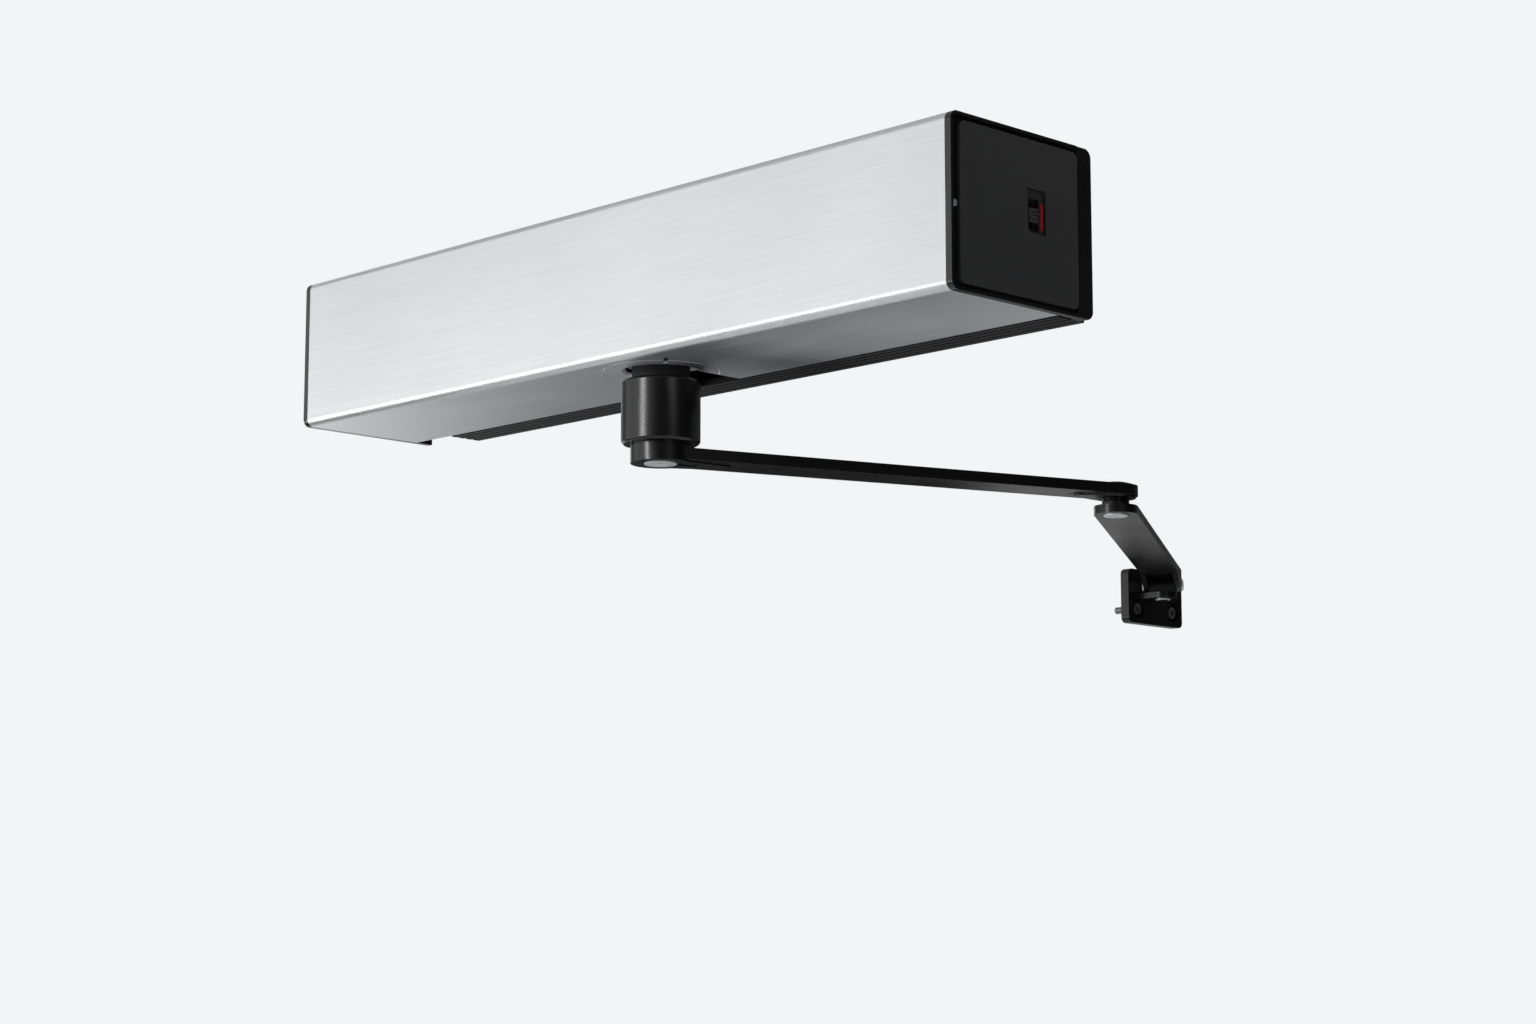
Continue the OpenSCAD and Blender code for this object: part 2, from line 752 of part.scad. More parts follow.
// ---------- motor ----------

module motor_case() {
    color([0.3, 0.31, 0.33]) difference() {
        rod_z(motor_x, spindle_y, motor_z0, motor_z1, motor_r);
        rod_z(motor_x, spindle_y, motor_z0 + 4, motor_z1 + 1, motor_r - motor_wall);
        rod_z(motor_x, spindle_y, motor_z0 - 1, motor_z0 + 5, shaft_r + run);
    }
}

module motor_end_bell() {
    color([0.62, 0.63, 0.65]) difference() {
        union() {
            rod_z(motor_x, spindle_y, motor_z1, motor_z1 + bell_t, motor_r);
            rod_z(motor_x, spindle_y, motor_z1 - 3, motor_z1 + eps, motor_r - motor_wall);
        }
        rod_z(motor_x, spindle_y, motor_z1 - 4, motor_z1 + bell_t + 1, shaft_r + run);
    }
}

module motor_magnets() {
    glue = 0.1;
    r_out = motor_r - motor_wall - glue;
    color([0.2, 0.2, 0.21]) difference() {
        ring_z(motor_x, spindle_y, motor_z0 + 8, motor_z1 - 6, r_out, motor_r - motor_wall - magnet_t);
        block(motor_x - 6, motor_x + 6, spindle_y - 40, spindle_y + 40, motor_z0, motor_z1);
    }
}

module motor_rotor() {
    armature_r = motor_r - motor_wall - magnet_t - 1;
    slot_w = 2;
    color([0.45, 0.38, 0.3]) {
        rod_z(motor_x, spindle_y, large_z0 - 2, motor_z1 + bell_t + 3, shaft_r);
        difference() {
            rod_z(motor_x, spindle_y, motor_z0 + 9, motor_z1 - 12, armature_r);
            for (a = [0:45:315]) translate([motor_x, spindle_y, 0]) rotate([0, 0, a])
                translate([armature_r - 4, -slot_w / 2, motor_z0]) cube([10, slot_w, 60]);
        }
        rod_z(motor_x, spindle_y, motor_z1 - 12, motor_z1 - 5, 8);
    }
}

module motor_pinion() {
    // The idler's large gear has a tooth at its near side, so the pinion faces it with a gap
    large_phase = 180 - floor(180 / (360 / large_n)) * 360 / large_n;
    turn = 180 / pinion_n - large_phase * large_n / pinion_n;
    color([0.6, 0.6, 0.62]) translate([motor_x, spindle_y, large_z0 - 1]) difference() {
        linear_extrude(large_z1 - large_z0 + 2) gear(gear_m, pinion_n, turn);
        translate([0, 0, -1]) cylinder(r = shaft_r, h = 20);
    }
}

module encoder_cap() {
    wall = 1.6;
    cap_r = 17;
    cap_h = 9;
    z0 = motor_z1 + bell_t;
    color([0.04, 0.04, 0.045]) difference() {
        rod_z(motor_x, spindle_y, z0, z0 + cap_h, cap_r);
        rod_z(motor_x, spindle_y, z0 - 1, z0 + cap_h - wall, cap_r - wall);
    }
}

// ---------- closing spring ----------

module rack_plunger() {
    pitch_y = spindle_y - rack_r;
    half = rack_m * PI / 4 - lash / 2;
    tip = half - rack_m * tan(pressure);
    root = half + 1.25 * rack_m * tan(pressure);
    pitch = rack_m * PI;
    teeth = floor((housing_x1 - rack_x0) / pitch);
    // A rack gap stands under the pinion tooth that points straight at it
    first_x = spindle_x - pitch / 2 - floor((spindle_x - rack_x0) / pitch - 1) * pitch;
    color([0.5, 0.5, 0.52]) {
        translate([0, 0, rack_z0]) linear_extrude(rack_z1 - rack_z0) {
            translate([rack_x0, rack_back_y])
                square([plunger_x0 - rack_x0 + eps, pitch_y - 1.25 * rack_m - rack_back_y]);
            for (i = [0:teeth - 1]) translate([first_x + i * pitch, pitch_y]) polygon([
                [-root, -1.25 * rack_m - eps], [root, -1.25 * rack_m - eps], [tip, rack_m], [-tip, rack_m]
            ]);
        }
        rod_x(plunger_x0, spring_x0, spindle_y, rack_mid_z, tube_r - gap);
        rod_x(spring_x0 - eps, spring_x0 + 6, spindle_y, rack_mid_z, spring_r - wire_r - 1);
    }
}

// Points of a helix of round wire, swept ring by ring
module closing_spring() {
    sides = 8;
    per_turn = 20;
    rings = spring_turns * per_turn;
    lead = (spring_l - 2 * wire_r - 2 * eps) / rings;
    points = [
        for (i = [0:rings]) let (a = 360 * i / per_turn)
            for (j = [0:sides - 1]) let (b = 360 * j / sides, r = spring_r + wire_r * cos(b))
                [spring_x0 + eps + wire_r + lead * i + wire_r * sin(b), spindle_y + r * cos(a),
                 rack_mid_z + r * sin(a)]
    ];
    sweep = [
        for (i = [0:rings - 1], j = [0:sides - 1])
            let (k = (j + 1) % sides)
            [i * sides + j, i * sides + k, (i + 1) * sides + k, (i + 1) * sides + j]
    ];
    first_end = [for (j = [0:sides - 1]) sides - 1 - j];
    last_end = [for (j = [0:sides - 1]) rings * sides + j];
    color([0.35, 0.37, 0.4]) polyhedron(points, concat(sweep, [first_end, last_end]));
}

module spring_flange() {
    half = 36;
    color([0.55, 0.56, 0.58]) difference() {
        block(housing_x1, tube_x0, spindle_y - half, spindle_y + half,
              rack_mid_z - half, rack_mid_z + half);
        rod_x(housing_x1 - 1, tube_x0 + 1, spindle_y, rack_mid_z, tube_r);
    }
}

module spring_tube() {
    color([0.62, 0.63, 0.65]) difference() {
        rod_x(tube_x0, plug_x0, spindle_y, rack_mid_z, tube_r + tube_wall);
        rod_x(tube_x0 - 1, plug_x0 + 1, spindle_y, rack_mid_z, tube_r);
    }
}

module spring_seat() {
    color([0.7, 0.71, 0.73]) {
        rod_x(spring_x1, spring_x1 + seat_t, spindle_y, rack_mid_z, tube_r - gap);
        rod_x(spring_x1 - 5, spring_x1 + eps, spindle_y, rack_mid_z, spring_r - wire_r - 1);
    }
}

tension_r = 5;

module tube_end_plug() {
    color([0.55, 0.56, 0.58]) difference() {
        union() {
            rod_x(plug_x0, plug_x0 + plug_t, spindle_y, rack_mid_z, tube_r + tube_wall);
            rod_x(plug_x0 - 4, plug_x0 + eps, spindle_y, rack_mid_z, tube_r);
        }
        rod_x(plug_x0 - 5, plug_x0 + plug_t + 1, spindle_y, rack_mid_z, tension_r);
    }
}

module tension_screw() {
    color([0.75, 0.75, 0.77]) {
        rod_x(spring_x1 + seat_t, plug_x0 + plug_t + 4, spindle_y, rack_mid_z, tension_r);
        translate([plug_x0 + plug_t + 4, spindle_y, rack_mid_z]) rotate([0, 90, 0])
            cylinder(r = 9, h = 7, $fn = 6);
    }
}

// ---------- electrical units ----------

module open_box(x0, x1, y0, y1, z0, z1, t) {
    difference() {
        block(x0, x1, y0, y1, z0, z1);
        block(x0 + t, x1 - t, y0 - 1, y1 - t, z0 + t, z1 - t);
    }
}

module control_case() {
    color([0.1, 0.1, 0.11]) {
        open_box(control_x0, control_x1, control_y0, unit_y1, -unit_z, unit_z, 2.5);
        for (x = [control_x0 + 2, control_x1 - 10], z = [-unit_z + 2, unit_z - 10])
            block(x, x + 8, control_y0 + 14, unit_y1 - 1, z, z + 8);
    }
}

board_y = front_y + 23;
parts_y = board_y - 1.6;

module control_board() {
    color([0.05, 0.3, 0.14])
        block(control_x0 + 3, control_x1 - 3, parts_y, board_y, -unit_z + 3, unit_z - 3);
}

module board_parts() {
    relay_w = 13;
    relay_pitch = 17;
    mid = (control_x0 + control_x1) / 2;
    color([0.08, 0.08, 0.09]) {
        for (i = [0:2]) translate([relay_pitch * i, 0, 0])
            block(control_x0 + 8, control_x0 + 8 + relay_w, parts_y - 9, parts_y, 20, 36);
        block(mid - 10, mid + 8, parts_y - 2.4, parts_y, -6, 12);
        for (i = [0:1]) rod_y(control_x1 - 14, parts_y - 10, parts_y, -8 + 16 * i, 6);
    }
}

module terminal_strip() {
    pitch = 5.08;
    count = floor((control_x1 - control_x0 - 20) / pitch);
    x0 = (control_x0 + control_x1 - count * pitch) / 2;
    z0 = -unit_z + 6;
    color([0.1, 0.5, 0.25]) difference() {
        block(x0, x0 + count * pitch, parts_y - 10, parts_y, z0, z0 + 14);
        for (i = [0:count - 1]) translate([pitch * i, 0, 0]) {
            block(x0 + 1, x0 + pitch - 1, parts_y - 8, parts_y - 3, z0 - 1, z0 + 8);
            rod_y(x0 + pitch / 2, parts_y - 11, parts_y - 8, z0 + 9, 1.7);
        }
    }
}

module power_supply_case() {
    vent_pitch = 9;
    vent_w = 4;
    vent_h = 20;
    vents = floor((supply_x1 - supply_x0 - 30) / vent_pitch);
    inner_z = unit_z - supply_wall;
    color([0.66, 0.67, 0.69]) difference() {
        block(supply_x0, supply_x1, supply_y0, unit_y1, -unit_z, unit_z);
        block(supply_x0 + supply_wall, supply_x1 - supply_wall, supply_y0 + supply_wall,
              unit_y1 - supply_wall, -inner_z, inner_z);
        for (i = [0:vents - 1], z = [-26, 6]) translate([supply_x0 + 16 + vent_pitch * i, 0, z])
            block(0, vent_w, supply_y0 - 4, supply_y0 + 3, 0, vent_h);
    }
}

module transformer() {
    core_w = 66;
    core_h = 56;
    core_t = 28;
    coil_t = 48;
    mid = (supply_x0 + supply_x1) / 2;
    y = (supply_y0 + unit_y1) / 2;
    foot_h = unit_z - supply_wall - core_h / 2;
    color([0.3, 0.3, 0.32]) {
        block(mid - core_w / 2, mid + core_w / 2, y - core_t / 2, y + core_t / 2, -core_h / 2, core_h / 2);
        difference() {
            rod_y(mid, y - coil_t / 2, y + coil_t / 2, 0, 22);
            rod_y(mid, y - coil_t / 2 - 1, y - core_t / 2 + 1, 0, 12);
        }
        for (z = [-core_h / 2 - foot_h, core_h / 2])
            block(mid - 12, mid + 12, y - 8, y + 8, z, z + foot_h);
    }
}

module mains_terminal() {
    color([0.88, 0.87, 0.82]) difference() {
        block(shelf_x0 + 2, shelf_x0 + 13, -30, -base_wall, -40, -14);
        for (i = [0:2]) rod_y(shelf_x0 + 7.5, -31, -16, -36 + 8.5 * i, 2.4);
    }
}

module wiring_loom() {
    r = 3;
    y = -14;
    z = 24;
    xa = supply_x1 - 12;
    xb = control_x0 + 8;
    color([0.08, 0.08, 0.08]) {
        rod_y(xa, unit_y1, y, z, r);
        rod_x(xa, xb, y, z, r);
        rod_y(xb, unit_y1, y, z, r);
        for (x = [xa, xb]) translate([x, y, z]) sphere(r);
    }
}

module cable_grommet() {
    flange_t = 3;
    color([0.03, 0.03, 0.03]) difference() {
        union() {
            rod_y(grommet_x, -base_wall - flange_t, 0, 0, cable_r + 3);
            rod_y(grommet_x, -base_wall - flange_t, -base_wall, 0, cable_r + 6);
        }
        rod_y(grommet_x, -base_wall - flange_t - 1, 1, 0, cable_r);
    }
}

// ---------- arms ----------

module main_arm() {
    oblong_l = 26;
    oblong_r = 4;
    mark_hole_s = 38.5;
    color([0.05, 0.05, 0.055]) difference() {
        union() {
            at_arm(0) {
                translate([0, 0, arm_z0]) linear_extrude(arm_t) tapered_bar(arm_l, arm_r, arm_end_r);
                translate([0, 0, pad_z]) cylinder(r = hub_r, h = sleeve_z0 - pad_z);
                translate([0, 0, pad_z]) linear_extrude(pad_t + eps) tapered_bar(46, arm_r - 1, 8);
            }
            at_arm(arm_l) rotate([0, 0, 180]) translate([0, 0, pad_z])
                linear_extrude(pad_t + eps) tapered_bar(30, arm_end_r - 1.5, 6);
        }
        at_arm(0) translate([0, 0, pad_z - 1]) {
            cylinder(r = stub_r, h = 40);
            cylinder(r = arm_head_r + 1, h = 5);
            // Oblong recess beside the screw
            translate([0, -oblong_r, 0]) cube([oblong_l, 2 * oblong_r, 2.6]);
            translate([oblong_l, 0, 0]) cylinder(r = oblong_r, h = 2.6);
        }
        at_arm(arm_l) translate([0, 0, pad_z - 1]) cylinder(r = pin_r, h = 40);
        at_arm(arm_l - mark_hole_s) translate([0, 0, arm_z0 - 1]) cylinder(r = 1.6, h = 5);
    }
}

module cross_recess(r, t) {
    for (a = [0, 90]) rotate([0, 0, a]) translate([-r, -r / 4, -1]) cube([2 * r, r / 2, t + 1]);
}

module arm_screw() {
    head_t = 4.6;
    head_z0 = pad_z - 0.6;
    color([0.8, 0.8, 0.82]) at_arm(0) difference() {
        union() {
            translate([0, 0, head_z0]) cylinder(r = arm_head_r, h = head_t);
            translate([0, 0, pad_z + 1]) cylinder(r = arm_screw_r, h = stub_z0 + 16 - pad_z);
        }
        translate([0, 0, head_z0]) cross_recess(5, 2);
    }
}

module elbow_pin() {
    color([0.06, 0.06, 0.065]) at_arm(arm_l) difference() {
        union() {
            translate([0, 0, arm_z1]) cylinder(r = 13, h = 1.4);
            translate([0, 0, arm_z1 + 1.4 - eps]) cylinder(r1 = 12, r2 = 8, h = 1.2);
            translate([0, 0, forearm_z0 + elbow_sink - 0.2]) cylinder(r = pin_r, h = arm_z1 - forearm_z0);
            difference() {
                translate([0, 0, pad_z - elbow_gap]) cylinder(r = 10.4, h = elbow_gap);
                translate([0, 0, pad_z - 2]) ring_z(0, 0, 0, 1, 12, 9.6);
            }
        }
        translate([0, 0, forearm_z0 - 1]) cylinder(r = elbow_screw_r, h = 14);
    }
}

module elbow_bush() {
    color([0.55, 0.42, 0.2]) at_arm(arm_l)
        ring_z(0, 0, forearm_z0 + elbow_sink, forearm_z1, bush_r, pin_r + run);
}

module elbow_screw() {
    proud = 1.2;
    color([0.8, 0.8, 0.82]) at_arm(arm_l) difference() {
        union() {
            translate([0, 0, forearm_z0 - proud]) cylinder(r = 9.3, h = elbow_sink + proud - gap);
            translate([0, 0, forearm_z0]) cylinder(r = elbow_screw_r, h = 11);
        }
        translate([0, 0, forearm_z0 - proud]) cross_recess(4, 1.4);
    }
}

module forearm() {
    ear_h = forearm_z0 - knuckle_z;
    // Where the ear's sloping lower edge meets its round end
    meet = atan2(ear_h, -ear_l) + acos(knuckle_r / norm([ear_l, ear_h]));
    color([0.06, 0.06, 0.065]) difference() {
        union() {
            at_forearm(0) translate([0, 0, forearm_z0])
                linear_extrude(forearm_t) tapered_bar(forearm_l, forearm_r, forearm_r);
            at_forearm(forearm_l) for (side = [-1, 1])
                translate([0, side * (ear_in + ear_t / 2) + ear_t / 2, 0]) rotate([90, 0, 0])
                    linear_extrude(ear_t) {
                        translate([0, knuckle_z]) circle(knuckle_r);
                        polygon([
                            [knuckle_r * cos(meet), knuckle_z + knuckle_r * sin(meet)],
                            [knuckle_r, knuckle_z], [knuckle_r, forearm_z0 + eps],
                            [-ear_l, forearm_z0 + eps]
                        ]);
                    }
        }
        at_forearm(0) {
            translate([0, 0, forearm_z0 - 1]) cylinder(r = bush_r, h = 40);
            translate([0, 0, forearm_z0 - 1]) cylinder(r = 10, h = 1 + elbow_sink);
        }
        at_forearm(forearm_l) translate([0, 0, knuckle_z]) rotate([90, 0, 0])
            translate([0, 0, -30]) cylinder(r = cross_r, h = 60);
    }
}

module cross_pin() {
    half = ear_in + ear_t;
    head_t = 1.6;
    color([0.8, 0.8, 0.82]) at_forearm(forearm_l) translate([0, 0, knuckle_z]) rotate([90, 0, 0]) {
        translate([0, 0, -half]) cylinder(r = cross_r, h = 2 * half);
        for (z = [-half - head_t, half]) translate([0, 0, z]) cylinder(r = cross_head_r, h = head_t);
    }
}

module swivel_block() {
    half = ear_in - gap;
    block_r = 6;
    foot = 8;
    color([0.04, 0.04, 0.045]) at_forearm(forearm_l) difference() {
        union() {
            translate([0, half, knuckle_z]) rotate([90, 0, 0]) cylinder(r = block_r, h = 2 * half);
            translate([-foot, -half, lug_z1 + gap]) cube([2 * foot, 2 * half, knuckle_z - lug_z1 - gap]);
            translate([0, 0, lug_z1 - lug_t - 2]) cylinder(r = stem_r, h = lug_t + 3);
        }
        translate([0, 30, knuckle_z]) rotate([90, 0, 0]) cylinder(r = cross_r + run, h = 60);
    }
}

module stem_clip() {
    color([0.7, 0.7, 0.72])
        ring_z(shoe_x, shoe_y, lug_z1 - lug_t - gap - 1, lug_z1 - lug_t - gap, stem_r + 2.5, stem_r);
}

module door_shoe() {
    z1 = plate_z_top;
    z0 = z1 - plate_h;
    color([0.05, 0.05, 0.055]) difference() {
        union() {
            along_x(plate_x0, plate_x1)
                rounded_rect(plate_y - plate_w / 2, plate_y + plate_w / 2, z0, z1, plate_r);
            block(plate_x1 - eps, shoe_x, shoe_y - lug_r, shoe_y + lug_r, lug_z1 - lug_t, lug_z1);
            rod_z(shoe_x, shoe_y, lug_z1 - lug_t, lug_z1, lug_r);
        }
        rod_z(shoe_x, shoe_y, lug_z1 - lug_t - 1, lug_z1 + 1, stem_r + run);
        for (y = shoe_screw_ys) {
            rod_x(plate_x0 - 1, plate_x1 + 1, y, shoe_screw_z, shoe_neck_r);
            rod_x(plate_x1 - recess_t, plate_x1 + 1, y, shoe_screw_z, recess_r);
        }
    }
}

module shoe_screws() {
    head_r = 5;
    socket_r = 2.9;
    color([0.1, 0.1, 0.11]) for (y = shoe_screw_ys) difference() {
        union() {
            rod_x(plate_x0 - shoe_screw_out, plate_x0 + eps, y, shoe_screw_z, shoe_screw_r);
            rod_x(plate_x0, plate_x1 - recess_t + eps, y, shoe_screw_z, shoe_neck_r);
            rod_x(plate_x1 - recess_t, plate_x1 - 0.6, y, shoe_screw_z, head_r);
        }
        translate([plate_x1 - 3.4, y, shoe_screw_z]) rotate([0, 90, 0])
            cylinder(r = socket_r, h = 5, $fn = 6);
    }
}

base_frame();
base_end_right();
base_end_left();
cover();
end_cap_right();
end_cap_left();
end_panel_right();
end_panel_left();
cap_screws();
selector_housing();
selector_knob();
status_lamp();
gear_tray();
mid_plate();
gearbox_screws();
standoffs();
upper_housing();
lower_bearing();
upper_bearing();
seal_collar();
spindle();
main_gear();
spindle_pinion();
spindle_sleeve();
idler_axle();
idler_gear();
motor_case();
motor_end_bell();
motor_magnets();
motor_rotor();
motor_pinion();
encoder_cap();
rack_plunger();
closing_spring();
spring_flange();
spring_tube();
spring_seat();
tube_end_plug();
tension_screw();
control_case();
control_board();
board_parts();
terminal_strip();
power_supply_case();
transformer();
mains_terminal();
wiring_loom();
cable_grommet();
main_arm();
arm_screw();
elbow_pin();
elbow_bush();
elbow_screw();
forearm();
cross_pin();
swivel_block();
stem_clip();
door_shoe();
shoe_screws();
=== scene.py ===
"""Looks of the door closer: brushed cover, black end caps, link arm and the drive inside."""

import json
import math

import bmesh
import bpy
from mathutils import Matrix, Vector


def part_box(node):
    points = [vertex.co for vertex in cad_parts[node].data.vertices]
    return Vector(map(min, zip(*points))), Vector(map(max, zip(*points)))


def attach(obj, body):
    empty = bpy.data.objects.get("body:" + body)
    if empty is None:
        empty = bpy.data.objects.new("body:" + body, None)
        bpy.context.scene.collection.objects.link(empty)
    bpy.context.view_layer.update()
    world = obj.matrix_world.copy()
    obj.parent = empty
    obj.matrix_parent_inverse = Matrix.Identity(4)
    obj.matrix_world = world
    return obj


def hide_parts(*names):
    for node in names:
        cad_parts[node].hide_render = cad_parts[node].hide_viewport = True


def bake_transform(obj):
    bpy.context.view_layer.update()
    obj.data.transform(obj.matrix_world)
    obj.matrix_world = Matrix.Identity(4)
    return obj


MM = 0.001
FINE_SHARE, BROAD_SHARE = 0.6, 0.4  # how much the fine and the broad noise say in a finish
WEAR_POLISH = 0.15  # how much smoother a fully rubbed place is
COAT_ROUGHNESS = 0.12
BUMP_STRENGTH = 0.8

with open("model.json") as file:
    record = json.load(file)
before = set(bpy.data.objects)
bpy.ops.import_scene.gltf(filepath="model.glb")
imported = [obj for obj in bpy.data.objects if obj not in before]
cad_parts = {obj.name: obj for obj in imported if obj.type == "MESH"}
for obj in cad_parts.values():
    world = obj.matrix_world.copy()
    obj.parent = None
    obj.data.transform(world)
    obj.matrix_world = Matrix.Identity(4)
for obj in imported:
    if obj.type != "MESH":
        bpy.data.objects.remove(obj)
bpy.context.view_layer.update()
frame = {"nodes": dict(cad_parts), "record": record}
record = frame["record"]
SLOT_OF = {part["node"]: part["material_slot"] for part in record["subparts"]}
BODY_OF = {
    node: body for body, nodes in record["behaviour"]["bodies"].items() for node in nodes
}


# ---------- materials ----------


def add(tree, kind, **values):
    """A shader node with the given settings; a socket's name has underscores for its spaces."""
    node = tree.nodes.new(kind)
    for key, value in values.items():
        if hasattr(node, key):
            setattr(node, key, value)
        else:
            node.inputs[key.replace("_", " ")].default_value = value
    return node


def noise(tree, scale, detail=3.0, rough=0.55):
    """Noise in object space; scale is per metre along X, Y and Z."""
    place = add(tree, "ShaderNodeTexCoord")
    stretch = add(tree, "ShaderNodeMapping", Scale=scale)
    field = add(tree, "ShaderNodeTexNoise", Scale=1.0, Detail=detail, Roughness=rough)
    tree.links.new(place.outputs["Object"], stretch.inputs["Vector"])
    tree.links.new(stretch.outputs["Vector"], field.inputs["Vector"])
    return field.outputs["Fac"]


def wave(tree, direction, scale):
    """Fine parallel lines in object space, such as turning marks or the edges of stacked sheets."""
    place = add(tree, "ShaderNodeTexCoord")
    lines = add(tree, "ShaderNodeTexWave", bands_direction=direction, Scale=scale, Distortion=0.4)
    lines.inputs["Detail"].default_value = 2.0
    tree.links.new(place.outputs["Object"], lines.inputs["Vector"])
    return lines.outputs["Fac"]


def mapped(tree, value, low, high, from_low=0.3, from_high=0.7):
    """value from a texture, spread over low to high."""
    node = add(tree, "ShaderNodeMapRange", From_Min=from_low, From_Max=from_high)
    node.inputs["To Min"].default_value, node.inputs["To Max"].default_value = low, high
    tree.links.new(value, node.inputs["Value"])
    return node.outputs["Result"]


def combined(tree, operation, a, b):
    """Two numbers put together by a maths node; b may be a plain number."""
    node = add(tree, "ShaderNodeMath", operation=operation)
    tree.links.new(a, node.inputs[0])
    if isinstance(b, (int, float)):
        node.inputs[1].default_value = b
    else:
        tree.links.new(b, node.inputs[1])
    return node.outputs[0]


def mixed(tree, factor, a, b):
    """Colour a at factor 0 and b at factor 1; either may be a plain colour."""
    node = add(tree, "ShaderNodeMix", data_type="RGBA")
    tree.links.new(factor, node.inputs[0])
    for socket, colour in ((node.inputs[6], a), (node.inputs[7], b)):
        if isinstance(colour, bpy.types.NodeSocket):
            tree.links.new(colour, socket)
        else:
            socket.default_value = (*colour, 1.0)
    return node.outputs[2]


def scaled(colour, share):
    """The colour made brighter or darker, with no channel above full."""
    return tuple(min(1.0, channel * share) for channel in colour)


def finish(
    name,
    colour,
    roughness,
    metallic=0.0,
    grain=(900, 900, 900),
    spread=0.12,
    rough_spread=0.08,
    relief=0.01,
    blotch=14,
    lines=None,
    line_relief=0.01,
    wear_and_highlight=0.0,
    wear_and_highlight_colour=(0.5, 0.5, 0.52),
    coat=0.0,
    specular=0.5,
    anisotropic=0.0,
):
    """A procedural material: grain and blotch per metre, relief in millimetres, and lighter rubbed
    patches as a share, which on the rounded edges are a painted highlight.
    """
    material = bpy.data.materials.new(name)
    material.use_nodes = True
    tree = material.node_tree
    shader = tree.nodes["Principled BSDF"]
    shader.inputs["Metallic"].default_value = metallic
    shader.inputs["Coat Weight"].default_value = coat
    shader.inputs["Coat Roughness"].default_value = COAT_ROUGHNESS
    shader.inputs["Specular IOR Level"].default_value = specular
    shader.inputs["Anisotropic"].default_value = anisotropic

    fine = noise(tree, grain, detail=4.0)
    broad = noise(tree, (blotch, blotch, blotch), detail=2.0)
    both = combined(tree, "MULTIPLY_ADD", fine, FINE_SHARE)
    tree.links.new(combined(tree, "MULTIPLY", broad, BROAD_SHARE), both.node.inputs[2])

    darker, lighter = scaled(colour, 1 - spread), scaled(colour, 1 + spread)
    tone = mixed(tree, mapped(tree, both, 0, 1), darker, lighter)
    smoothest, roughest = max(0.03, roughness - rough_spread), min(1.0, roughness + rough_spread)
    rough = mapped(tree, both, smoothest, roughest)
    # Lighter patches in a rubbed pattern: real wear on plain faces, a painted highlight on the
    # rounded edges
    if wear_and_highlight > 0:
        wear_and_highlight_spots = noise(tree, (160, 160, 160), detail=9.0, rough=0.7)
        share = mapped(tree, wear_and_highlight_spots, 0.0, wear_and_highlight, 0.45, 0.75)
        tone = mixed(tree, share, tone, wear_and_highlight_colour)
        rough = combined(tree, "SUBTRACT", rough, combined(tree, "MULTIPLY", share, WEAR_POLISH))
    tree.links.new(tone, shader.inputs["Base Color"])
    tree.links.new(rough, shader.inputs["Roughness"])

    height, depth = fine, relief
    if lines:
        height, depth = wave(tree, *lines), line_relief
    bump = add(tree, "ShaderNodeBump", Strength=BUMP_STRENGTH, Distance=depth * MM)
    tree.links.new(height, bump.inputs["Height"])
    tree.links.new(bump.outputs["Normal"], shader.inputs["Normal"])
    return material
